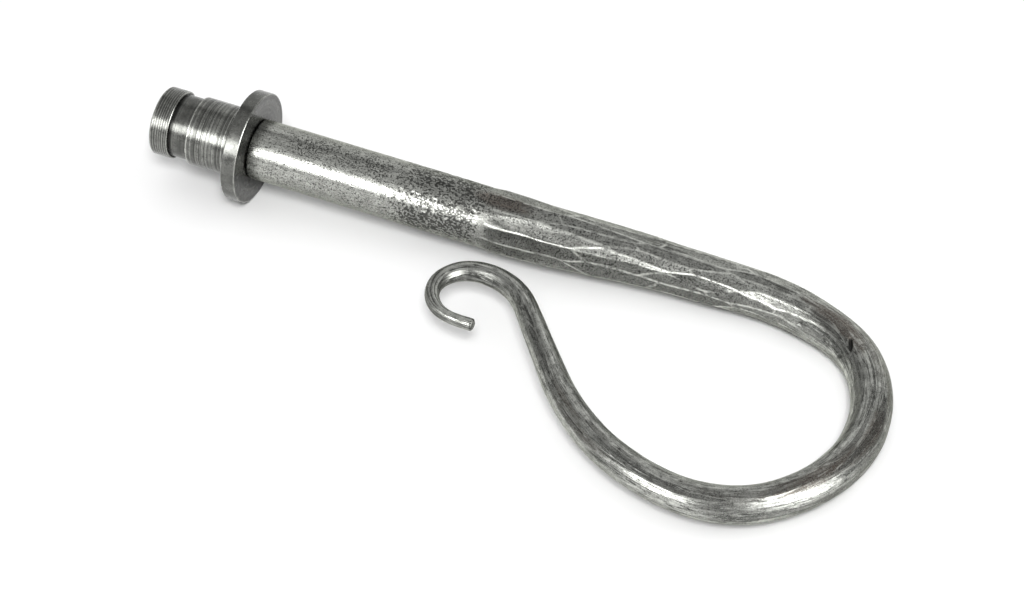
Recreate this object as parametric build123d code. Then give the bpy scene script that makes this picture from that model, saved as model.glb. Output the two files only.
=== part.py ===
"""A shepherd's crook curtain pole finial: a forged, tapered steel bar bent into a crook, fixed by a
stud to a turned spigot that plugs into the end of a hollow curtain pole.

Millimetres and degrees. The origin is on the spigot's axis, at the flange face that seats on the
pole's end. +X runs along the bar towards the crook, the crook lies in the XY plane on the -Y side,
and +Z is square to it.
"""

from build123d import *
import math
import os

# Turned spigot. X is negative on the side that goes into the pole.
SPIGOT_DIAMETER = 15.4
SHOULDER_LENGTH = 11.1
GROOVE_DIAMETER = 14.1
GROOVE_WIDTH = 4.4
HEAD_LENGTH = 4.4
FLANGE_DIAMETER = 25.0
FLANGE_THICKNESS = 3.3
TURNED_EDGE = 0.3

# Forged bar: its diameter at distances along its centreline, with a straight line between each two.
SHANK_DIAMETER = 13.5
TAPER = [
    (46.0, 13.5),
    (62.0, 13.2),
    (80.0, 12.0),
    (95.0, 10.8),
    (135.0, 9.0),
    (170.0, 8.6),
    (230.0, 7.0),
    (290.0, 4.8),
    (306.0, 3.4),
    (316.0, 2.5),
]
BUTT_ROUNDING = 0.5
TIP_LENGTH = 4.0
TIP_ROUNDING = 0.5

# The crook: each bend's radius and how far it turns, anticlockwise seen from +Z. A straight ramp
# joins the loop to the curl.
STRAIGHT_LENGTH = 66.0
LOOP = [
    (70.0, 5.0),
    (400.0, -6.0),
    (50.0, -24.0),
    (22.0, -32.0),
    (35.0, -80.0),
    (23.0, -51.0),
    (45.0, -30.0),
    (65.0, -15.0),
]
RAMP_LENGTH = 22.0
CURL = [
    (14.0, 54.0),
    (8.0, 180.0),
]
TURN_PER_SECTION = 7.0
LENGTH_PER_SECTION = 8.0

# The headless stud that joins the two, with its threads at their nominal diameter.
STUD_DIAMETER = 6.0
STUD_LENGTH = 20.0
STUD_CLEARANCE = 0.05
STUD_END_GAP = 0.5
STUD_CHAMFER = 0.6

ALONG_X = Plane(origin=(0, 0, 0), x_dir=(0, 0, 1), z_dir=(1, 0, 0))


def rod(diameter, start_x, end_x):
    """A cylinder on the spigot's axis, from one X to the other."""
    low, high = sorted((start_x, end_x))
    return ALONG_X * Pos(0, 0, low) * extrude(Circle(diameter / 2), high - low)


def end_edges(solid, x):
    """The circular edges of a turned piece that lie at one X."""
    return [edge for edge in solid.edges().filter_by(GeomType.CIRCLE) if abs(edge.center().X - x) < 0.01]


def stud_hole(start_x, end_x):
    """A blind tapped hole for the stud, from one X to the other."""
    return rod(STUD_DIAMETER + 2 * STUD_CLEARANCE, start_x, end_x)


def turned_spigot():
    """Flange, shoulder, retaining groove and head in one turned piece, tapped from the flange side."""
    groove_start = -SHOULDER_LENGTH
    head_start = groove_start - GROOVE_WIDTH
    tip = head_start - HEAD_LENGTH
    piece = rod(SPIGOT_DIAMETER, 0, groove_start)
    piece += rod(GROOVE_DIAMETER, groove_start, head_start)
    piece += rod(SPIGOT_DIAMETER, head_start, tip)
    piece += rod(FLANGE_DIAMETER, 0, FLANGE_THICKNESS)
    rims = [edge for edge in end_edges(piece, 0) if edge.radius > SPIGOT_DIAMETER / 2 + 1]
    rims += end_edges(piece, FLANGE_THICKNESS) + end_edges(piece, tip)
    piece = chamfer(rims, TURNED_EDGE)
    depth = STUD_LENGTH / 2 + STUD_END_GAP
    return piece - stud_hole(FLANGE_THICKNESS, FLANGE_THICKNESS - depth)


def straight_after(run, length):
    """A straight run that carries on from the end of another."""
    return Line(run @ 1, run @ 1 + (run % 1) * length)


def bends_after(run, bends):
    """Bends that carry on from the end of a run, each tangent to the one before."""
    arcs = []
    for radius, turn in bends:
        run = JernArc(run @ 1, run % 1, radius, turn)
        arcs.append(run)
    return arcs


def centreline():
    """The bar's centreline: a straight shank, the loop, a straight ramp and the curl."""
    start = Vector(FLANGE_THICKNESS, 0, 0)
    shank = Line(start, start + Vector(STRAIGHT_LENGTH, 0, 0))
    loop = bends_after(shank, LOOP)
    ramp = straight_after(loop[-1], RAMP_LENGTH)
    return Wire([shank, *loop, ramp, *bends_after(ramp, CURL)])


def diameter_at(distance):
    """The bar's diameter at a distance along its centreline."""
    for (near, wide), (far, narrow) in zip(TAPER, TAPER[1:]):
        if distance <= far:
            share = max(0.0, (distance - near) / (far - near))
            return wide + (narrow - wide) * share
    return TAPER[-1][1]


def section(line, distance):
    """The bar's round section at a distance along its centreline."""
    share = distance / line.length
    place = Plane(origin=line @ share, x_dir=(0, 0, 1), z_dir=line % share)
    return place * Circle(diameter_at(distance) / 2)


def section_distances():
    """Where the drawn-down bar's sections stand along its centreline, closer in the tight bends."""
    start = TAPER[0][0]
    runs = [(STRAIGHT_LENGTH - start, 0)]
    runs += [(radius * math.radians(abs(turn)), abs(turn)) for radius, turn in LOOP]
    runs += [(RAMP_LENGTH, 0)]
    runs += [(radius * math.radians(abs(turn)), abs(turn)) for radius, turn in CURL]
    distances = [start]
    for length, turn in runs:
        steps = math.ceil(max(length / LENGTH_PER_SECTION, turn / TURN_PER_SECTION))
        begin = distances[-1]
        distances += [begin + length * i / steps for i in range(1, steps + 1)]
    return distances


def blunt_tip(line):
    """The last straight stretch of the bar, with its cut end's edge rounded."""
    tip = extrude(section(line, line.length), TIP_LENGTH)
    cut_end = tip.faces().sort_by_distance(line @ 1 + (line % 1) * TIP_LENGTH)[0]
    return fillet(cut_end.edges(), TIP_ROUNDING)


def crook_bar():
    """A round shank drawn down to a slender curl, with a blunt tip and a tapped butt."""
    line = centreline()
    taper_start = TAPER[0][0]
    butt = FLANGE_THICKNESS
    shank = rod(SHANK_DIAMETER, butt, butt + taper_start)
    shank = fillet(end_edges(shank, butt), BUTT_ROUNDING)
    drawn = loft([section(line, distance) for distance in section_distances()], ruled=True)
    depth = STUD_LENGTH / 2 + STUD_END_GAP
    return shank + drawn + blunt_tip(line) - stud_hole(butt, butt + depth)


def joining_stud():
    """The stud, half in the spigot and half in the bar's butt."""
    middle = FLANGE_THICKNESS
    half = STUD_LENGTH / 2
    stud = rod(STUD_DIAMETER, middle - half, middle + half)
    return chamfer(end_edges(stud, middle - half) + end_edges(stud, middle + half), STUD_CHAMFER)


def main():
    os.makedirs("parts", exist_ok=True)
    pieces = {
        "turned_spigot": turned_spigot(),
        "crook_bar": crook_bar(),
        "joining_stud": joining_stud(),
    }
    for name, piece in pieces.items():
        export_step(piece, f"parts/{name}.step")
        size = piece.bounding_box().size
        print(f"{name}: {piece.volume:.0f} mm3, {size.X:.1f} x {size.Y:.1f} x {size.Z:.1f} mm")
    print(f"centreline {centreline().length:.1f} mm")


main()
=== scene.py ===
"""The looks of a forged shepherd's crook curtain pole finial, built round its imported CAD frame.

The bar is a swept mesh with hammered flats, pits, drawn lines and dents; the spigot is a lathe
mesh with turning marks. Lengths are in millimetres inside the making functions and are turned into
metres once, where a mesh is made. Places on the bar are a distance along its course from the front
of the flange and an angle round it, in degrees from +Z towards the outside of the crook.
"""

import math

import bmesh
import bpy
import numpy as np
from mathutils import Matrix, Vector
from mathutils.geometry import intersect_ray_tri


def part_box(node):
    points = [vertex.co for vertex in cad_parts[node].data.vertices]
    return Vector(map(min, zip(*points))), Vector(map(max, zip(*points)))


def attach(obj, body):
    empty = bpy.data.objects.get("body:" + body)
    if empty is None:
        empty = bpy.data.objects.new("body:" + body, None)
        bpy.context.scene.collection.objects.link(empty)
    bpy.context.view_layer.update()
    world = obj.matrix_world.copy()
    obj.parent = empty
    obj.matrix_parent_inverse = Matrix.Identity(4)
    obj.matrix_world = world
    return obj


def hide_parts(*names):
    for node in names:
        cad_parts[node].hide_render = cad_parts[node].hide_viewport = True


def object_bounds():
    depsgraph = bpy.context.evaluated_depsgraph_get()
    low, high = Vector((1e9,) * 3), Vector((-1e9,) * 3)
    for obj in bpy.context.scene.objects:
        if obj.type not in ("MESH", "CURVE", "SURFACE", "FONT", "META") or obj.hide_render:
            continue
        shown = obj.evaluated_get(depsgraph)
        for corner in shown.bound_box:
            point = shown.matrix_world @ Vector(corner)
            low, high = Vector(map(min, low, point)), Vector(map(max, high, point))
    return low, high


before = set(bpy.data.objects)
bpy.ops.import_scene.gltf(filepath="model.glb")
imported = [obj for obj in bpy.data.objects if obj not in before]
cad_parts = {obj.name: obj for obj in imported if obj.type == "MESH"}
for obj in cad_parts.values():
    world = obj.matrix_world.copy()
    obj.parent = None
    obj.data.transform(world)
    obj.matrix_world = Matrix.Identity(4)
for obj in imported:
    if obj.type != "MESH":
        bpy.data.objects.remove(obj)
CAD_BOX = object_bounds()

MM = 0.001
FLANGE_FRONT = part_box("crook_bar")[0].x / MM
SPIGOT_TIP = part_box("turned_spigot")[0].x / MM
FLANGE_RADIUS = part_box("turned_spigot")[1].z / MM

# The bar's course, as its CAD node has it: a straight shank, the loop's bends, each of a radius and
# a turn, a straight ramp, and the curl's bends.
STRAIGHT_LENGTH = 66.0
LOOP = [
    (70.0, 5.0),
    (400.0, -6.0),
    (50.0, -24.0),
    (22.0, -32.0),
    (35.0, -80.0),
    (23.0, -51.0),
    (45.0, -30.0),
    (65.0, -15.0),
]
RAMP_LENGTH = 22.0
CURL = [
    (14.0, 54.0),
    (8.0, 180.0),
]
TIP_LENGTH = 4.0
BEND_SOFTNESS = 5.0

# The bar's radius at distances along its course, and its rounded ends. The last stretch of the tip
# is its darker cut face.
TAPER_AT = [0, 46, 62, 80, 95, 135, 170, 230, 290, 306, 316]
TAPER_RADIUS = [6.75, 6.75, 6.6, 6.0, 5.4, 4.5, 4.3, 3.5, 2.4, 1.7, 1.25]
BUTT_ROUNDING = 0.5
TIP_ROUNDING = 0.5
TIP_FACE = 0.45

# The drawn lines are laid out on a bar of this radius, so each keeps its angle as the bar tapers.
LINE_RADIUS = 4.6

# Hammered flats on the drawn-down stretch: distance, angle, how proud the blow left it, and how
# dark its patina is. The sides that face down have a regular staggered set.
FLATS = [
    (68, -77, 0.0, 0.75), (70, -46, -0.04, 0.35), (87, -58, 0.015, 0.45), (62.5, -10, 0.0, 0.05),
    (66, -105, 0.0, 0.60), (62, 18, 0.0, 0.15), (79.5, -27, 0.02, 0.50), (79, -9, 0.02, 0.35),
    (85.5, 7, 0.0, 0.30), (87, -70, 0.0, 0.75), (92.5, -45, 0.0, 0.48), (84, -99, 0.0, 0.70),
    (82, 30, 0.0, 0.10), (97.5, -23, 0.0, 0.45), (98.5, -77, 0.005, 0.60), (105, -66, -0.02, 0.90),
    (113, -73, 0.0, 0.55), (110.5, -39, 0.0, 0.40), (122, -50, 0.0, 0.28), (131, -72, 0.0, 0.45),
    (120, -31, 0.0, 0.20),
    (103, -104, 0.0, 0.70), (103, 5, 0.0, 0.30), (104, 34, 0.0, 0.10), (119, -9.5, 0.0, 0.45),
    (122, -95, 0.0, 0.50), (120, -116, 0.0, 0.20), (122, 13, 0.0, 0.10),
]
FALL_ALONG = 0.0022
FALL_ROUND = 0.100
FLAT_DEPTH = 0.16
EDGE_REACH = 2.0
NO_FLAT_YET = 9.0

# Dents: distance, angle, length, width, slant and depth.
DENTS = [
    (143.0, -30.0, 4.8, 1.25, -25.0, 0.50),
    (128.9, -70.0, 1.8, 1.3, 60.0, 0.16),
    (136.2, -75.0, 2.2, 1.3, 50.0, 0.14),
    (142.6, -79.0, 3.4, 1.4, 40.0, 0.16),
    (152.5, -62.0, 1.4, 0.9, 20.0, 0.10),
    (289.8, 4.0, 1.8, 0.8, 0.0, 0.10),
    (178.0, 118.0, 2.2, 1.2, 30.0, 0.15),
    (96.0, 150.0, 2.4, 1.3, -20.0, 0.15),
]

# Where the patina lies darker, and where painted shade dims some highlights and the undersides: distance,
# angle, half length, half width, how dark, how brown.
STAINS_AND_PAINTED_SHADE = [
    (46, -88, 15, 3.2, 0.45, 0.0), (59, -60, 5, 1.6, 0.75, 0.0), (90, -96, 34, 3.0, 0.40, 0.0),
    (46, -20, 10, 2.4, 0.25, 0.0), (58.5, -8, 7.5, 2.6, 0.45, 1.0),
    (129, -71, 1.8, 0.9, 0.6, 0.0), (136, -75, 2.2, 0.9, 0.5, 0.0), (143, -79, 3.0, 1.1, 0.5, 0.0),
    (137, -10, 11, 2.2, 0.35, 0.8), (134, -38, 7, 1.2, 0.30, 0.2), (150, 8, 9, 0.8, 0.40, 0.0),
    (150, -38, 12, 0.5, 0.40, 0.0), (158, 46, 5, 0.7, 0.5, 0.4), (170, 30, 8, 1.7, 0.60, 0.8),
    (168, -42, 12, 0.8, 0.35, 0.0), (184, 10, 13, 1.7, 0.55, 0.7), (197, 15, 6, 1.2, 0.55, 0.2),
    (207, 8, 11, 0.9, 0.50, 0.1), (204, 60, 5.5, 1.5, 0.60, 0.0), (212, 37, 11, 0.8, 0.40, 0.0),
    (226, 12, 3, 0.5, 0.5, 0.0), (229, 25, 4.5, 0.5, 0.5, 0.0), (237, 4, 5, 0.7, 0.4, 0.1),
    (242, 53, 13, 1.0, 0.40, 0.3), (247, 26, 8, 0.7, 0.3, 0.5), (254, -18, 6, 0.8, 0.3, 0.0),
    (262, 12, 5, 0.7, 0.5, 0.0), (268, 5, 12, 0.6, 0.35, 0.0), (270, -38, 9, 0.9, 0.45, 0.0),
    (281, -20, 4, 0.8, 0.5, 0.0), (278, 32, 3, 0.7, 0.5, 0.0), (265, 48, 10, 0.8, 0.3, 0.0),
    (288, 33, 4, 0.6, 0.4, 0.0), (294, 66, 3.5, 0.9, 0.65, 0.0), (291, 98, 6, 0.8, 0.5, 0.0),
    (297, 18, 4, 0.6, 0.5, 0.0), (302, 52, 3, 1.0, 0.4, 0.0), (305, 0, 3, 0.6, 0.4, 0.0),
    (165, 66, 18, 4.6, 0.60, 0.0), (205, 70, 7, 3.6, 0.60, 0.0), (232, 58, 8, 2.2, 0.45, 0.0),
    (157, 90, 12, 5.0, 0.45, 0.0), (188, 22, 14, 1.5, 0.80, 0.5), (203, 26, 8, 1.3, 0.65, 0.1),
    (292, 22, 7, 0.7, 0.50, 0.0), (190, 27, 9, 0.9, 0.85, 0.4), (216, 30, 9, 0.8, 0.60, 0.0),
    (172, 34, 9, 1.4, 0.70, 0.5), (306, 108, 16, 2.0, 0.82, 0.0), (310, -82, 9, 1.1, 0.62, 0.0),
    (126, -57, 9, 1.0, 0.65, 0.0), (292, 52, 9, 1.8, 0.50, 0.0), (28, -112, 26, 5.0, 0.25, 0.0),
    (176, 90, 14, 3.0, 0.35, 0.0), (138, -62, 9, 2.4, 0.55, 0.0), (148, 30, 9, 3.0, 0.30, 0.2),
    (178, 56, 8, 2.6, 0.55, 0.0), (262, -62, 14, 2.0, 0.80, 0.0), (242, -56, 15, 2.2, 0.80, 0.0),
    (231, -46, 9, 2.2, 0.60, 0.0), (281, -50, 10, 2.0, 0.60, 0.0), (275, 20, 20, 0.7, 0.3, 0.0),
    (110, 160, 14, 3.0, 0.4, 0.6), (210, 200, 14, 2.6, 0.4, 0.6), (30, 150, 16, 5.0, 0.3, 0.3),
]

RNG = np.random.default_rng(7)


def smoothstep(low, high, value):
    share = np.clip((value - low) / (high - low), 0.0, 1.0)
    return share * share * (3.0 - 2.0 * share)


def lattice(cell, seed):
    """A repeatable random number from 0 to 1 for each integer cell."""
    mixed = np.full(cell.shape[:-1], seed * 40503 + 977, np.uint64)
    for axis, prime in enumerate((73856093, 19349663, 83492791)):
        mixed ^= (cell[..., axis].astype(np.int64) + 100000).astype(np.uint64) * np.uint64(prime)
    mixed = (mixed ^ (mixed >> np.uint64(13))) * np.uint64(1274126177)
    mixed = mixed ^ (mixed >> np.uint64(16))
    return (mixed % np.uint64(65536)).astype(float) / 65535.0


def noise(points, size, seed):
    """Smooth random values from 0 to 1 with lumps about one size across; size may be per axis."""
    scaled = points / np.asarray(size, float)
    cell = np.floor(scaled).astype(int)
    part = scaled - cell
    part = part * part * (3.0 - 2.0 * part)
    total = np.zeros(points.shape[:-1])
    for corner in np.ndindex(2, 2, 2):
        weight = np.ones(points.shape[:-1])
        for axis in range(3):
            weight = weight * (part[..., axis] if corner[axis] else 1.0 - part[..., axis])
        total += weight * lattice(cell + np.array(corner), seed)
    return total


def round_the_bar(angle, from_angle, radius):
    """How far round the bar an angle is from another, as a length."""
    return np.radians((angle - from_angle + 180.0) % 360.0 - 180.0) * radius


# ------------------------------------------------------------------------------ the bar's course


def arcs(bends):
    """Each bend's length and curvature."""
    return [(radius * math.radians(abs(turn)), math.copysign(1.0 / radius, turn))
            for radius, turn in bends]


def course(step=0.1):
    """Distance, X, Y and heading along the bar's centreline, with each bend eased into the next."""
    runs = [(STRAIGHT_LENGTH, 0.0), *arcs(LOOP), (RAMP_LENGTH, 0.0), *arcs(CURL), (TIP_LENGTH, 0.0)]
    total = sum(length for length, _ in runs)
    distance = np.arange(0.0, total + step / 2, step)
    ends = np.cumsum([length for length, _ in runs])
    curvature = np.array([bend for _, bend in runs])
    at = np.minimum(np.searchsorted(ends, distance), len(runs) - 1)
    curve = curvature[at]
    reach = int(BEND_SOFTNESS / step / 2)
    padded = np.pad(curve, reach, mode="edge")
    curve = np.convolve(padded, np.ones(2 * reach + 1) / (2 * reach + 1), mode="valid")
    heading = np.concatenate([[0.0], np.cumsum((curve[1:] + curve[:-1]) / 2 * step)])
    middle = (heading[1:] + heading[:-1]) / 2
    x = FLANGE_FRONT + np.concatenate([[0.0], np.cumsum(np.cos(middle) * step)])
    y = np.concatenate([[0.0], np.cumsum(np.sin(middle) * step)])
    return distance, x, y, heading


def ring_distances(total):
    """Where the bar's rings of vertices stand: closest in the pitted, hammered and dented parts."""
    stretches = [(BUTT_ROUNDING, 0.08), (30.0, 0.55), (58.0, 0.27), (128.0, 0.33), (139.0, 0.50),
                 (147.0, 0.24), (300.0, 0.55), (total, 0.35)]
    stops = [0.0]
    start = 0.0
    for end, step in stretches:
        count = max(1, round((end - start) / step))
        stops += [start + (end - start) * (i + 1) / count for i in range(count)]
        start = end
    return np.array(stops)


def column_angles(fine=2.1, coarse=4.4, fine_from=-125.0, fine_to=60.0):
    """Angles of the vertices round the bar, closer together on the side with the detail."""
    near = np.arange(fine_from, fine_to, fine)
    gap = 360.0 - (near[-1] - near[0])
    count = round(gap / coarse)
    return np.concatenate([near, near[-1] + gap * np.arange(1, count) / count])


# ------------------------------------------------------------------------------ the bar's surface


def all_flats():
    """The listed flats, those on the sides that face down, and long faint ones further on."""
    placed = list(FLATS)
    for row, distance in enumerate(np.arange(62.0, 128.0, 10.5)):
        for angle in range(45, 256, 32):
            turned = angle + 16 * (row % 2)
            if 52 < turned < 236:
                tone = RNG.uniform(0.0, 0.6)
                placed.append((distance + RNG.uniform(-3, 3), turned + RNG.uniform(-6, 6), 0.0, tone))
    for row, distance in enumerate(np.arange(140.0, 316.0, 15.0)):
        for angle in range(0, 360, 36):
            turned = angle + 18 * (row % 2)
            tone = RNG.uniform(0.0, 0.3)
            placed.append((distance + RNG.uniform(-6, 6), turned + RNG.uniform(-9, 9), 0.0, tone))
    return placed


def flats_field(distance, angle, radius, straight):
    """Height of the hammered surface over the round bar, the distance to the nearest ridge between
    two flats, and how dark the flat is."""
    shape = distance.shape
    distance = distance + 2.6 * (noise(straight, (6.0, 2.5, 2.5), 61) - 0.5)
    sideways = 0.55 * (noise(straight, (5.0, 1.6, 1.6), 62) - 0.5)
    lowest, second = np.full(shape, NO_FLAT_YET), np.full(shape, NO_FLAT_YET)
    slope, second_slope = np.zeros(shape + (2,)), np.zeros(shape + (2,))
    dark = np.zeros(shape)
    for at, round_at, proud, tone in all_flats():
        along = distance - at
        away = round_the_bar(angle, round_at, radius) + sideways
        rise = proud + FALL_ALONG * along ** 2 + FALL_ROUND * away ** 2
        fall = 2.0 * np.stack([FALL_ALONG * along, FALL_ROUND * away], axis=-1)
        first = rise < lowest
        next_up = ~first & (rise < second)
        second_slope[next_up] = fall[next_up]
        second_slope[first] = slope[first]
        second = np.where(first, lowest, np.where(next_up, rise, second))
        slope[first] = fall[first]
        lowest = np.where(first, rise, lowest)
        dark = np.where(first, tone, dark)
    steepness = np.linalg.norm(slope - second_slope, axis=-1)
    edge = (second - lowest) / np.maximum(steepness, 0.02)
    return lowest - FLAT_DEPTH, np.minimum(edge, EDGE_REACH), dark


def dent(distance, angle, radius, at, round_at, length, width, slant, depth):
    """An oval dent, its long axis turned from the bar's line by slant degrees."""
    along = distance - at
    across = round_the_bar(angle, round_at, radius)
    turn = math.radians(slant)
    long_way = along * math.cos(turn) + across * math.sin(turn)
    short_way = -along * math.sin(turn) + across * math.cos(turn)
    reach = np.sqrt((long_way / (length / 2)) ** 2 + (short_way / (width / 2)) ** 2)
    raised_rim = 0.18 * np.exp(-(((reach - 1.15) / 0.22) ** 2))
    return depth * (raised_rim - (1.0 - smoothstep(0.45, 1.0, reach)))


def stains_and_painted_shade(distance, angle, radius, straight):
    """How dark and how brown the patina is, with the painted shade that dims some highlights and
    undersides, all with ragged borders drawn out along the bar.
    """
    ragged = noise(straight, (3.0, 0.8, 0.8), 51) + 0.6 * noise(straight, (1.2, 0.5, 0.5), 52)
    ragged = 0.55 * (ragged / 1.6 - 0.5)
    dark, brown = np.zeros(distance.shape), np.zeros(distance.shape)
    for at, round_at, half_length, half_width, darkness, brownness in STAINS_AND_PAINTED_SHADE:
        away = round_the_bar(angle, round_at, radius)
        reach = np.sqrt(((distance - at) / half_length) ** 2 + (away / half_width) ** 2)
        cover = 1.0 - smoothstep(0.45, 1.15, reach + ragged)
        dark = np.maximum(dark, cover * darkness)
        brown = np.maximum(brown, cover * brownness)
    return dark, brown


def zones(distance, angle):
    """Where the bar is hammered, hammered only faintly, drawn out and pebbled."""
    hammered = smoothstep(54.5, 57.5, distance)
    faint = smoothstep(122.0, 134.0, distance)
    along_top = smoothstep(76.0, 94.0, distance) * smoothstep(-32.0, -16.0, angle)
    drawn = np.maximum(smoothstep(112.0, 134.0, distance), 0.8 * along_top)
    pebbled = smoothstep(26.0, 42.0, distance) * (1.0 - smoothstep(52.0, 57.0, distance))
    return hammered, faint, drawn, pebbled


def eaten_patina(distance, angle, straight, hammered, faint, pebbled, tone):
    """How thickly pores stand in the patina: on the pebbled stretch, two bands and the dark flats."""
    upper = 0.75 * smoothstep(4.0, 14.0, distance) * np.exp(-(((angle + 15.0) / 30.0) ** 2))
    lower = 0.22 * smoothstep(2.0, 10.0, distance) * np.exp(-(((angle + 85.0) / 22.0) ** 2))
    eaten = np.maximum(pebbled, (1.0 - hammered) * np.maximum(upper, lower))
    eaten = np.maximum(eaten, hammered * (0.26 + 0.32 * tone) * (1.0 - 0.5 * faint))
    return eaten * (0.55 + 0.9 * noise(straight, (5.0, 3.0, 3.0), 71))


def bar_surface(distance, angle, base):
    """Radius of the bar and what its patina follows, at each distance and angle."""
    radians = np.radians(angle)
    straight = np.stack([distance, base * np.sin(radians), base * np.cos(radians)], axis=-1)
    hammered, faint, drawn, pebbled = zones(distance, angle)
    slender = base / TAPER_RADIUS[0]

    height, edge, tone = flats_field(distance, angle, base, straight)
    flats = hammered * np.minimum(height, 0.22) * (1.0 - 0.62 * faint)
    ridge = hammered * (1.0 - 0.8 * faint) * smoothstep(-0.13, -0.07, height)

    along = np.stack([distance, LINE_RADIUS * np.sin(radians), LINE_RADIUS * np.cos(radians)], axis=-1)
    lines = noise(along, (22.0, 1.3, 1.3), 11) + 0.5 * noise(along, (11.0, 0.6, 0.6), 12)
    lines = np.clip(0.5 + 1.6 * (lines / 1.5 - 0.5), 0.0, 1.0)
    streaks = 0.22 * (lines - 0.5) * drawn * (0.35 + 0.65 * slender)
    pits = smoothstep(0.50, 0.80, noise(straight, (0.95, 0.8, 0.8), 21))
    pitting = -0.10 * pits * pebbled
    waves = 0.05 * (noise(straight, (7.0, 3.5, 3.5), 31) - 0.5)
    dents = sum(dent(distance, angle, base, *each) for each in DENTS)

    dark, brown = stains_and_painted_shade(distance, angle, base, straight)
    eaten = eaten_patina(distance, angle, straight, hammered, faint, pebbled, tone)
    cut_face = distance > distance.max() - TIP_FACE
    marks = {
        "eaten": np.maximum(eaten, 0.8 * brown),
        "pebbled": pebbled,
        "edge": edge,
        "ridge": ridge,
        "tone": tone * hammered,
        "lines": lines,
        "drawn": drawn,
        "curl": smoothstep(280.0, 292.0, distance),
        "stain_and_shade": dark,
        "brown": brown,
        "grime": np.maximum(smoothstep(0.05, 0.22, -dents), 0.6 * cut_face),
        "burnish": 1.0 - smoothstep(24.0, 44.0, distance),
        "straight": straight,
        "along": along,
    }
    return base + flats + streaks + (pitting + waves) * (0.3 + 0.7 * slender) + dents, marks


def rounded_ends(distance, total, radius):
    """The radius drawn in at the butt and at the cut tip, as quarter rounds."""
    butt = np.clip(1.0 - distance / BUTT_ROUNDING, 0.0, 1.0)
    tip = np.clip(1.0 - (total - distance) / TIP_ROUNDING, 0.0, 1.0)
    radius = radius - BUTT_ROUNDING * (1.0 - np.sqrt(1.0 - butt ** 2))
    return radius - TIP_ROUNDING * (1.0 - np.sqrt(1.0 - tip ** 2))


# ------------------------------------------------------------------------------ meshes


def tube_mesh(name, rings, attributes):
    """A closed tube from rings of points, in millimetres, with its ends closed by fans."""
    count, around, _ = rings.shape
    points = rings.reshape(-1, 3)
    ends = np.array([rings[0].mean(axis=0), rings[-1].mean(axis=0)])
    points = np.concatenate([points, ends])
    row = np.arange(count - 1)[:, None] * around
    here = np.arange(around)[None, :]
    after = (here + 1) % around
    quads = np.stack([row + here, row + after, row + around + after, row + around + here], axis=-1)
    quads = quads.reshape(-1, 4)
    last = (count - 1) * around
    start = [[count * around, (i + 1) % around, i] for i in range(around)]
    finish = [[count * around + 1, last + i, last + (i + 1) % around] for i in range(around)]
    mesh = bpy.data.meshes.new(name)
    mesh.from_pydata((points * MM).tolist(), [], quads.tolist() + start + finish)
    for key, values in attributes.items():
        flat = values.reshape(count * around, -1)
        flat = np.concatenate([flat, flat[:around].mean(axis=0)[None], flat[-around:].mean(axis=0)[None]])
        kind, field = ("FLOAT_VECTOR", "vector") if flat.shape[1] == 3 else ("FLOAT", "value")
        layer = mesh.attributes.new(key, kind, "POINT")
        layer.data.foreach_set(field, flat.astype(np.float32).ravel())
    mesh.polygons.foreach_set("use_smooth", [True] * len(mesh.polygons))
    mesh.validate()
    mesh.update()
    piece = bpy.data.objects.new(name, mesh)
    bpy.context.scene.collection.objects.link(piece)
    return piece


def crook_bar():
    along, x, y, heading = course()
    total = along[-1]
    stops = ring_distances(total)
    distance, angle = np.meshgrid(stops, column_angles(), indexing="ij")
    base = np.interp(distance, TAPER_AT, TAPER_RADIUS)
    radius, marks = bar_surface(distance, angle, base)
    radius = rounded_ends(distance, total, radius)
    cx = np.interp(stops, along, x)[:, None]
    cy = np.interp(stops, along, y)[:, None]
    turn = np.interp(stops, along, heading)[:, None]
    outward = radius * np.sin(np.radians(angle))
    rings = np.stack([cx - np.sin(turn) * outward, cy + np.cos(turn) * outward,
                      radius * np.cos(np.radians(angle))], axis=-1)
    piece = tube_mesh("forged_crook", rings, marks)
    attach(piece, "root")
    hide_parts("crook_bar")
    return piece


# The spigot's outline, from its tip to the flange, as distances in front of the seat and radii.
SPIGOT_RADIUS = 7.7
GROOVE_RADIUS = 7.05
SHOULDER_BACK = -11.1
HEAD_FRONT = -15.5
CREST_PITCH = 0.56


def turned_outline(step=0.075):
    """The spigot's profile as rows of X, radius, outward normal and the length of its run."""
    corners = [
        (SPIGOT_TIP, 0.6), (SPIGOT_TIP, SPIGOT_RADIUS - 0.35), (SPIGOT_TIP + 0.35, SPIGOT_RADIUS),
        (HEAD_FRONT - 0.15, SPIGOT_RADIUS), (HEAD_FRONT, SPIGOT_RADIUS - 0.15),
        (HEAD_FRONT, GROOVE_RADIUS), (SHOULDER_BACK, GROOVE_RADIUS),
        (SHOULDER_BACK, SPIGOT_RADIUS - 0.12), (SHOULDER_BACK + 0.12, SPIGOT_RADIUS),
        (0.0, SPIGOT_RADIUS), (0.0, FLANGE_RADIUS - 0.16), (0.16, FLANGE_RADIUS),
        (FLANGE_FRONT - 0.18, FLANGE_RADIUS), (FLANGE_FRONT, FLANGE_RADIUS - 0.18),
        (FLANGE_FRONT, 1.0),
    ]
    points = []
    for (x0, r0), (x1, r1) in zip(corners, corners[1:]):
        length = math.hypot(x1 - x0, r1 - r0)
        count = max(2, round(length / step))
        normal = ((r0 - r1) / length, (x1 - x0) / length)
        for i in range(count):
            share = i / count
            points.append((x0 + (x1 - x0) * share, r0 + (r1 - r0) * share, *normal, length))
    points.append((*corners[-1], 0.0, 0.0, 1.0))
    return np.array(points)


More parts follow.
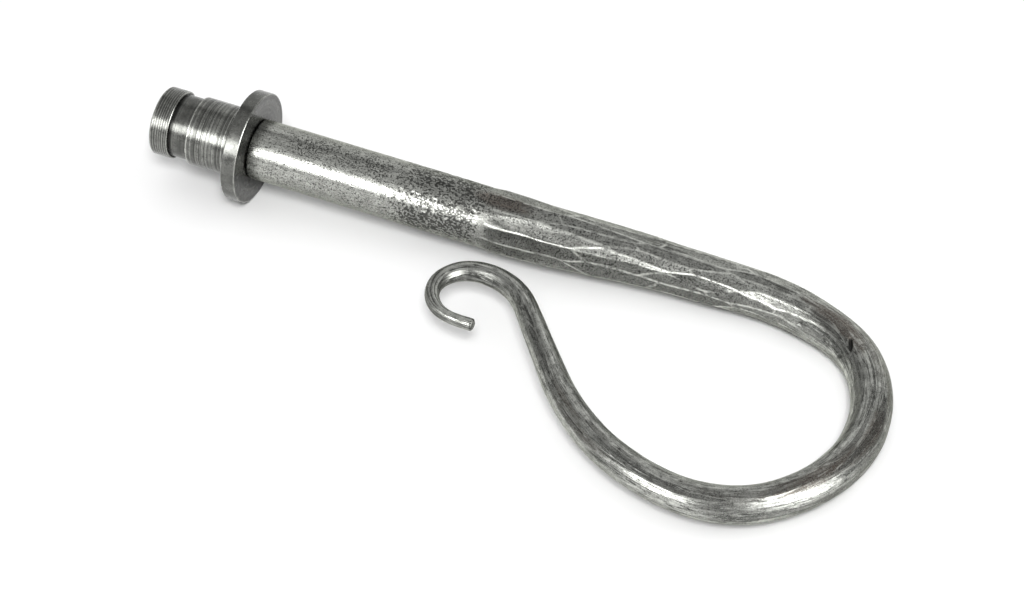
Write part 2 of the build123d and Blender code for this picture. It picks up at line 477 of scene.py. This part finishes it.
def tool_marks(x, radius, run):
    """Height of the turning marks, how bright and dark their lines are, and the painted shade in the
    groove and round the shank's seat.
    """
    here = np.stack([x, radius, x * 0], axis=-1)
    fine = noise(here, (0.26, 0.26, 1.0), 41)
    thin = noise(here, (0.15, 0.3, 1.0), 44)
    broad = noise(here, (0.9, 0.9, 1.0), 42)
    large = (radius > GROOVE_RADIUS + 0.3) & (radius < SPIGOT_RADIUS + 0.1)
    on_head = large & (x > SPIGOT_TIP + 0.4) & (x < HEAD_FRONT - 0.1)
    on_shoulder = large & (x > SHOULDER_BACK + 0.6) & (x < -0.1)
    on_face = (x > FLANGE_FRONT - 0.05) & (radius < FLANGE_RADIUS - 0.4)
    in_groove = (x > HEAD_FRONT - 0.02) & (x < SHOULDER_BACK + 0.1) & ~large
    wander = 0.55 * noise(here, (0.9, 0.9, 1.0), 43)
    phase = ((x - SPIGOT_TIP) / CREST_PITCH + wander + 0.3) % 1.0 - 0.5
    crest = np.where(on_head, np.exp(-((phase / 0.10) ** 2)), 0.0)
    scored = np.where(on_shoulder, smoothstep(0.55, 0.80, thin) * smoothstep(0.2, 0.5, broad), 0.0)
    lip = np.where(large & (np.abs(x - SHOULDER_BACK - 0.3) < 0.17), 1.0, 0.0)
    bright = np.maximum(np.maximum(0.9 * crest, 0.7 * scored), lip)
    dark = np.where(on_shoulder, smoothstep(0.50, 0.22, thin), 0.0)
    dark = np.maximum(dark, np.where(on_head, 0.6 * smoothstep(0.12, 0.35, np.abs(phase)), 0.0))
    dark = np.maximum(dark, np.where(in_groove, 0.55 * smoothstep(0.35, 0.7, thin), 0.0))
    dark = np.maximum(dark, np.where(on_face, 0.55 + 0.35 * smoothstep(0.4, 0.7, thin), 0.0))
    # Painted shade: dark in the groove just behind the head's front, and on the flange face close round
    # the shank.
    painted_shade = np.where(in_groove, 0.92 * (1.0 - smoothstep(0.55, 1.0, x - HEAD_FRONT)), 0.0)
    corner = np.exp(-np.maximum(radius - 6.9, 0.0) / 1.1)
    painted_shade = np.maximum(painted_shade, np.where(on_face, 0.80 * corner, 0.0))
    height = 0.035 * crest + 0.012 * scored + 0.02 * lip + 0.005 * (fine - 0.5)
    plain = run > 1.0
    return height * plain, bright * plain, dark * plain, painted_shade


def turned_spigot(around=128):
    outline = turned_outline()
    x, radius, nx, nr, run = outline.T
    height, bright, dark, painted_shade = tool_marks(x, radius, run)
    radius = np.maximum(radius + nr * height, 0.05)
    x = x + nx * height
    angle = np.radians(np.arange(around) * 360.0 / around)
    rings = np.stack([
        np.repeat(x[:, None], around, axis=1),
        radius[:, None] * np.sin(angle)[None, :],
        radius[:, None] * np.cos(angle)[None, :],
    ], axis=-1)
    wide = np.ones((1, around))
    marks = {
        "ridge": np.where(run < 0.6, 1.0, 0.0)[:, None] * wide,
        "bright": bright[:, None] * wide,
        "dark": dark[:, None] * wide,
        "painted_shade": painted_shade[:, None] * wide,
        "straight": rings,
    }
    piece = tube_mesh("turned_spigot_lathe", rings, marks)
    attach(piece, "root")
    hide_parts("turned_spigot")
    return piece


# ------------------------------------------------------------------------------ materials


class Nodes:
    """A short way to write a material's node tree."""

    def __init__(self, name):
        self.material = bpy.data.materials.new(name)
        self.material.use_nodes = True
        self.tree = self.material.node_tree
        self.tree.nodes.clear()
        self.shader = self.tree.nodes.new("ShaderNodeBsdfPrincipled")
        output = self.tree.nodes.new("ShaderNodeOutputMaterial")
        self.tree.links.new(self.shader.outputs[0], output.inputs[0])

    def link(self, value, socket):
        if isinstance(value, (int, float, tuple)):
            socket.default_value = value
        else:
            self.tree.links.new(value, socket)

    def attribute(self, name, output="Fac"):
        node = self.tree.nodes.new("ShaderNodeAttribute")
        node.attribute_name = name
        return node.outputs[output]

    def math(self, operation, *values):
        node = self.tree.nodes.new("ShaderNodeMath")
        node.operation = operation
        for value, socket in zip(values, node.inputs):
            self.link(value, socket)
        return node.outputs[0]

    def times(self, *values):
        product = values[0]
        for value in values[1:]:
            product = self.math("MULTIPLY", product, value)
        return product

    def ramp(self, value, low, high, out_low=0.0, out_high=1.0):
        node = self.tree.nodes.new("ShaderNodeMapRange")
        node.interpolation_type = "SMOOTHSTEP"
        for item, socket in zip((value, low, high, out_low, out_high), node.inputs):
            self.link(item, socket)
        return node.outputs[0]

    def stretch(self, vector, scale):
        node = self.tree.nodes.new("ShaderNodeMapping")
        node.vector_type = "POINT"
        self.link(vector, node.inputs["Vector"])
        node.inputs["Scale"].default_value = scale
        return node.outputs[0]

    def noise(self, vector, scale, detail, roughness):
        node = self.tree.nodes.new("ShaderNodeTexNoise")
        self.link(vector, node.inputs["Vector"])
        node.inputs["Scale"].default_value = scale
        node.inputs["Detail"].default_value = detail
        node.inputs["Roughness"].default_value = roughness
        return node.outputs["Fac"]

    def warped(self, vector, scale, amount):
        """The vector pushed about by noise."""
        node = self.tree.nodes.new("ShaderNodeTexNoise")
        self.link(vector, node.inputs["Vector"])
        node.inputs["Scale"].default_value = scale
        push = self.tree.nodes.new("ShaderNodeVectorMath")
        push.operation = "MULTIPLY_ADD"
        self.link(node.outputs["Color"], push.inputs[0])
        push.inputs[1].default_value = (amount, amount, amount)
        self.link(vector, push.inputs[2])
        return push.outputs[0]

    def mix(self, share, first, second):
        node = self.tree.nodes.new("ShaderNodeMix")
        node.data_type = "RGBA"
        self.link(share, node.inputs[0])
        self.link(first, node.inputs[6])
        self.link(second, node.inputs[7])
        return node.outputs[2]

    def layered(self, share, first, second, layers):
        """Two colours mixed, then each layer's colour laid over by its share."""
        colour = self.mix(share, first, second)
        for cover, above in layers:
            colour = self.mix(cover, colour, above)
        return colour

    def bump(self, height, distance, strength, normal=None):
        node = self.tree.nodes.new("ShaderNodeBump")
        self.link(height, node.inputs["Height"])
        node.inputs["Distance"].default_value = distance
        node.inputs["Strength"].default_value = strength
        if normal is not None:
            self.link(normal, node.inputs["Normal"])
        return node.outputs[0]

    def set(self, name, value):
        self.link(value, self.shader.inputs[name])


def pewter(value):
    """Pewter grey of a given reflectance, a little warm."""
    return (value * 0.985, value, value * 0.935, 1.0)


DARK = pewter(0.045)
BROWN = (0.160, 0.125, 0.102, 1.0)


def forged_pores(n, place, curl):
    """The hollows of the pores and their rims: coarse where the bar is pebbled, small elsewhere."""
    coarse = n.noise(n.warped(n.stretch(place, (0.85, 1.15, 1.15)), 0.8, 0.9), 1.9, 2.5, 0.55)
    small = n.noise(place, 2.9, 2.0, 0.55)
    pebbled = n.attribute("pebbled")
    pores = n.math("ADD", n.times(coarse, pebbled), n.times(small, n.math("SUBTRACT", 1.0, pebbled)))
    pores = n.math("ADD", pores, n.times(n.attribute("eaten"), 0.115))
    pores = n.math("SUBTRACT", pores, n.times(curl, 0.10))
    hollow = n.ramp(pores, 0.565, 0.625)
    rim = n.times(n.ramp(pores, 0.515, 0.565), n.math("SUBTRACT", 1.0, hollow))
    return hollow, rim


def forged_edges(n, tone, lines, drawn):
    """The worn bright ridges, and the dark lines that run beside those of the drawn stretch."""
    contour = n.math("PINGPONG", lines, 0.15)
    drawn_ridge = n.times(drawn, n.ramp(contour, 0.032, 0.010), n.ramp(tone, 0.38, 0.55))
    beside = n.times(drawn, n.ramp(n.math("ABSOLUTE", n.math("SUBTRACT", contour, 0.062)), 0.030, 0.008))
    beside = n.times(beside, n.ramp(tone, 0.62, 0.42))
    worn = n.ramp(n.attribute("edge"), 0.40, 0.08)
    ridge = n.times(n.attribute("ridge"), worn, n.ramp(tone, 0.35, 0.60, 0.25, 1.0))
    return n.math("MAXIMUM", ridge, n.times(drawn_ridge, 0.60)), beside


def forged_pewter():
    n = Nodes("forged_pewter")
    place = n.attribute("straight", "Vector")
    burnish, stain_and_shade, curl = n.attribute("burnish"), n.attribute("stain_and_shade"), n.attribute("curl")
    lines, drawn = n.attribute("lines"), n.attribute("drawn")
    rough_part = n.math("SUBTRACT", 1.0, n.times(curl, 0.75))
    tone = n.noise(place, 0.55, 4.0, 0.6)
    fine = n.noise(place, 2.8, 3.0, 0.65)
    grain = n.noise(n.stretch(place, (0.35, 3.2, 3.2)), 1.0, 3.0, 0.6)
    streak = n.noise(n.stretch(n.attribute("along", "Vector"), (0.08, 0.95, 0.95)), 1.0, 3.0, 0.62)
    hollow, rim = forged_pores(n, place, curl)
    ridge, beside = forged_edges(n, tone, lines, drawn)
    hollow = n.times(hollow, n.math("SUBTRACT", 1.0, n.times(ridge, 0.8)))
    hollow = n.times(hollow, n.math("SUBTRACT", 1.0, n.times(drawn, 0.55)))

    # Each layer covers those before it: its share and its colour.
    layers = [
        (n.times(burnish, 0.5), pewter(0.60)),
        (n.times(drawn, 0.45), pewter(0.66)),
        (n.times(n.ramp(grain, 0.62, 0.42, 0.0, 0.35), rough_part), DARK),
        (n.times(drawn, n.ramp(streak, 0.45, 0.37), 0.85), DARK),
        (n.times(drawn, n.ramp(streak, 0.56, 0.64), 0.42), pewter(0.80)),
        (n.times(beside, 0.85), DARK),
        (n.times(n.attribute("tone"), 0.90), pewter(0.095)),
        # The patina's stains, together with painted shade over some highlights and the undersides.
        (stain_and_shade, DARK),
        (n.times(n.attribute("brown"), 0.75), BROWN),
        (n.times(drawn, n.ramp(lines, 0.36, 0.22), 0.60), DARK),
        (n.times(curl, n.ramp(lines, 0.53, 0.40), 0.75), DARK),
        (n.times(n.ramp(fine, 0.50, 0.62, 0.0, 0.45), rough_part), DARK),
        (n.times(ridge, 0.72), pewter(0.82)),
        (n.times(rim, 0.30), pewter(0.75)),
        (n.times(hollow, 0.80), pewter(0.030)),
        (n.times(n.attribute("grime"), 0.9), pewter(0.02)),
    ]
    n.set("Base Color", n.layered(n.ramp(tone, 0.3, 0.7), pewter(0.40), pewter(0.60), layers))
    n.set("Specular Tint", pewter(0.74))
    n.set("Metallic", 1.0)
    rough = n.math("SUBTRACT", n.ramp(fine, 0.35, 0.7, 0.26, 0.40), n.times(burnish, 0.05))
    n.set("Roughness", n.math("ADD", rough, n.times(stain_and_shade, 0.12)))
    bumped = n.bump(fine, 0.03 * MM, 0.7)
    bumped = n.bump(n.times(streak, drawn), 0.18 * MM, 0.9, bumped)
    n.set("Normal", n.bump(hollow, 0.06 * MM, -0.8, bumped))
    return n.material


def turned_pewter():
    n = Nodes("turned_pewter")
    place = n.attribute("straight", "Vector")
    tone = n.noise(place, 0.5, 4.0, 0.6)
    speckle = n.noise(place, 2.4, 2.0, 0.6)
    rings = n.noise(n.stretch(place, (3.6, 0.10, 0.10)), 1.0, 3.0, 0.7)
    broken = n.ramp(n.noise(n.stretch(place, (1.5, 0.6, 0.6)), 1.0, 2.0, 0.6), 0.30, 0.55, 0.5, 1.0)
    layers = [
        (n.times(n.attribute("dark"), 0.75), DARK),
        (n.times(n.attribute("bright"), broken, 0.65), pewter(0.72)),
        (n.ramp(speckle, 0.56, 0.66, 0.0, 0.50), DARK),
        (n.times(n.attribute("ridge"), broken, 0.42), pewter(0.70)),
        # Painted shade in the groove and on the flange face round the shank.
        (n.attribute("painted_shade"), pewter(0.02)),
    ]
    n.set("Base Color", n.layered(n.ramp(tone, 0.3, 0.7), pewter(0.12), pewter(0.20), layers))
    n.set("Metallic", 1.0)
    n.set("Roughness", n.ramp(tone, 0.3, 0.7, 0.22, 0.30))
    bumped = n.bump(speckle, 0.03 * MM, -0.5)
    n.set("Normal", n.bump(rings, 0.02 * MM, 0.5, bumped))
    return n.material


def plain_steel():
    n = Nodes("stud_steel")
    place = n.tree.nodes.new("ShaderNodeTexCoord").outputs["Object"]
    tone = n.noise(place, 900.0, 3.0, 0.6)
    n.set("Base Color", n.mix(n.ramp(tone, 0.3, 0.7), pewter(0.38), pewter(0.52)))
    n.set("Metallic", 1.0)
    n.set("Roughness", n.ramp(tone, 0.3, 0.7, 0.25, 0.4))
    return n.material


def paint(piece, material):
    piece.data.materials.clear()
    piece.data.materials.append(material)


# ------------------------------------------------------------------------------ stage

# Lengths on the stage are in metres, apart from the lens and its sensor, in millimetres. The turning
# marks stand a little proud of the CAD's flange, so the floor is lowered by a gap. The camera aims a
# little beyond the middle of the part's box. At azimuth 0 it looks along +Y. The softboxes stand to
# its left and right.
FLOOR_SIZE = 6.0
FLOOR_GAP = 0.05 * MM
CAMERA_AZIMUTH = 19.1
CAMERA_ELEVATION = 41.6
CAMERA_ROLL = -4.3
CAMERA_DISTANCE = 0.627
CAMERA_LENS = 105.5
SENSOR_WIDTH = 36.0
CAMERA_TARGET = (CAD_BOX[0] + CAD_BOX[1]) / 2 + Vector((5.2, 1.9, 0.0)) * MM
LEFT_AZIMUTH = -26.5
RIGHT_AZIMUTH = 73.5


def direction(azimuth, elevation):
    a, e = math.radians(azimuth), math.radians(elevation)
    return Vector((math.sin(a) * math.cos(e), -math.cos(a) * math.cos(e), math.sin(e)))


def middle_of_mass(shape):
    """The middle of a closed shape's volume, from the cones between its faces and the origin."""
    total, moment = 0.0, Vector((0.0, 0.0, 0.0))
    for a, b, c in shape.calc_loop_triangles():
        volume = a.vert.co.dot(b.vert.co.cross(c.vert.co))
        total += volume
        moment += volume * (a.vert.co + b.vert.co + c.vert.co) / 4
    return moment / total


def resting_place():
    """Where the finial lies on a level surface, and that surface's upward normal. It lies on the
    face of its hull that is straight below its middle of mass. The hidden stud is left out."""
    shape = bmesh.new()
    for node in ("crook_bar", "turned_spigot"):
        shape.from_mesh(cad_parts[node].data)
    middle = middle_of_mass(shape)
    made = bmesh.ops.convex_hull(shape, input=shape.verts)["geom"]
    for face in (part for part in made if isinstance(part, bmesh.types.BMFace)):
        a, b, c = (corner.co for corner in face.verts)
        down = (b - a).cross(c - a).normalized()
        if down.dot(a - middle) < 0:
            down.negate()
        hit = intersect_ray_tri(a, b, c, down, middle, True)
        if hit and down.z < 0:
            return hit, -down
    raise ValueError("the hull has no face below the middle of mass")


def floor():
    """A plane that the finial lies on. It is a little tilted in the part's frame."""
    touching, up = resting_place()
    across = up.cross(Vector((0, 1, 0))).normalized()
    ahead = up.cross(across)
    half = FLOOR_SIZE / 2
    corners = [touching - up * FLOOR_GAP + across * a * half + ahead * b * half
               for a, b in ((-1, -1), (1, -1), (1, 1), (-1, 1))]
    mesh = bpy.data.meshes.new("floor")
    mesh.from_pydata([tuple(corner) for corner in corners], [], [(0, 1, 2, 3)])
    plane = bpy.data.objects.new("floor", mesh)
    bpy.context.scene.collection.objects.link(plane)
    n = Nodes("floor_white")
    n.set("Base Color", (0.93, 0.93, 0.93, 1.0))
    n.set("Roughness", 0.9)
    n.set("Specular IOR Level", 0.0)
    paint(plane, n.material)


def camera():
    data = bpy.data.cameras.new("camera")
    data.lens = CAMERA_LENS
    data.sensor_width = SENSOR_WIDTH
    data.clip_start, data.clip_end = 0.01, 20.0
    body = bpy.data.objects.new("camera", data)
    back = direction(CAMERA_AZIMUTH, CAMERA_ELEVATION)
    turn = (-back).to_track_quat("-Z", "Y").to_matrix()
    turn = turn @ Matrix.Rotation(math.radians(-CAMERA_ROLL), 3, "Z")
    body.matrix_world = Matrix.Translation(CAMERA_TARGET + back * CAMERA_DISTANCE) @ turn.to_4x4()
    bpy.context.scene.collection.objects.link(body)
    bpy.context.scene.camera = body


def softbox(name, azimuth, elevation, distance, width, height, radiance, on):
    """A rectangular light that faces the part, with the same brightness all over. It lights only
    the matt floor, or shows only in the metal."""
    data = bpy.data.lights.new(name, "AREA")
    data.shape = "RECTANGLE"
    data.size, data.size_y = width, height
    data.energy = radiance * width * height * math.pi
    lamp = bpy.data.objects.new(name, data)
    away = direction(azimuth, elevation)
    lamp.matrix_world = (Matrix.Translation(CAMERA_TARGET + away * distance)
                         @ (-away).to_track_quat("-Z", "Y").to_matrix().to_4x4())
    lamp.visible_glossy = on == "metal"
    lamp.visible_diffuse = on == "floor"
    bpy.context.scene.collection.objects.link(lamp)


def surroundings():
    """A dim even room, a little lighter on the spigot's side."""
    world = bpy.data.worlds.new("surroundings")
    bpy.context.scene.world = world
    world.use_nodes = True
    tree = world.node_tree
    tree.nodes.clear()
    place = tree.nodes.new("ShaderNodeTexCoord")
    split = tree.nodes.new("ShaderNodeSeparateXYZ")
    shade = tree.nodes.new("ShaderNodeMapRange")
    back = tree.nodes.new("ShaderNodeBackground")
    out = tree.nodes.new("ShaderNodeOutputWorld")
    tree.links.new(place.outputs["Generated"], split.inputs[0])
    tree.links.new(split.outputs["X"], shade.inputs["Value"])
    shade.inputs["From Min"].default_value = -1.0
    shade.inputs["From Max"].default_value = 1.0
    shade.inputs["To Min"].default_value = 0.46
    shade.inputs["To Max"].default_value = 0.26
    tree.links.new(shade.outputs[0], back.inputs["Strength"])
    tree.links.new(back.outputs[0], out.inputs[0])


def stage():
    floor()
    camera()
    softbox("softbox_left", LEFT_AZIMUTH, 25.0, 1.4, 0.90, 0.56, 7.5, "metal")
    softbox("softbox_right", RIGHT_AZIMUTH, 25.0, 1.4, 0.92, 1.25, 7.5, "metal")
    softbox("glow_left", LEFT_AZIMUTH, 30.0, 1.5, 1.3, 1.3, 0.35, "metal")
    softbox("glow_right", RIGHT_AZIMUTH, 30.0, 1.5, 1.3, 1.3, 0.25, "metal")
    softbox("top_card", 0.0, 80.0, 1.6, 1.6, 1.6, 0.35, "metal")
    softbox("back_card", 180.0, 27.0, 2.0, 2.3, 2.2, 0.5, "metal")
    softbox("top_wash", 150.0, 86.0, 2.0, 6.0, 6.0, 0.54, "floor")
    softbox("fill", CAMERA_AZIMUTH, 50.0, 1.4, 0.38, 0.38, 31.0, "floor")
    surroundings()
    bpy.context.scene.view_settings.view_transform = "Standard"


bar = crook_bar()
spigot = turned_spigot()
paint(bar, forged_pewter())
paint(spigot, turned_pewter())
paint(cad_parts["joining_stud"], plain_steel())
stage()
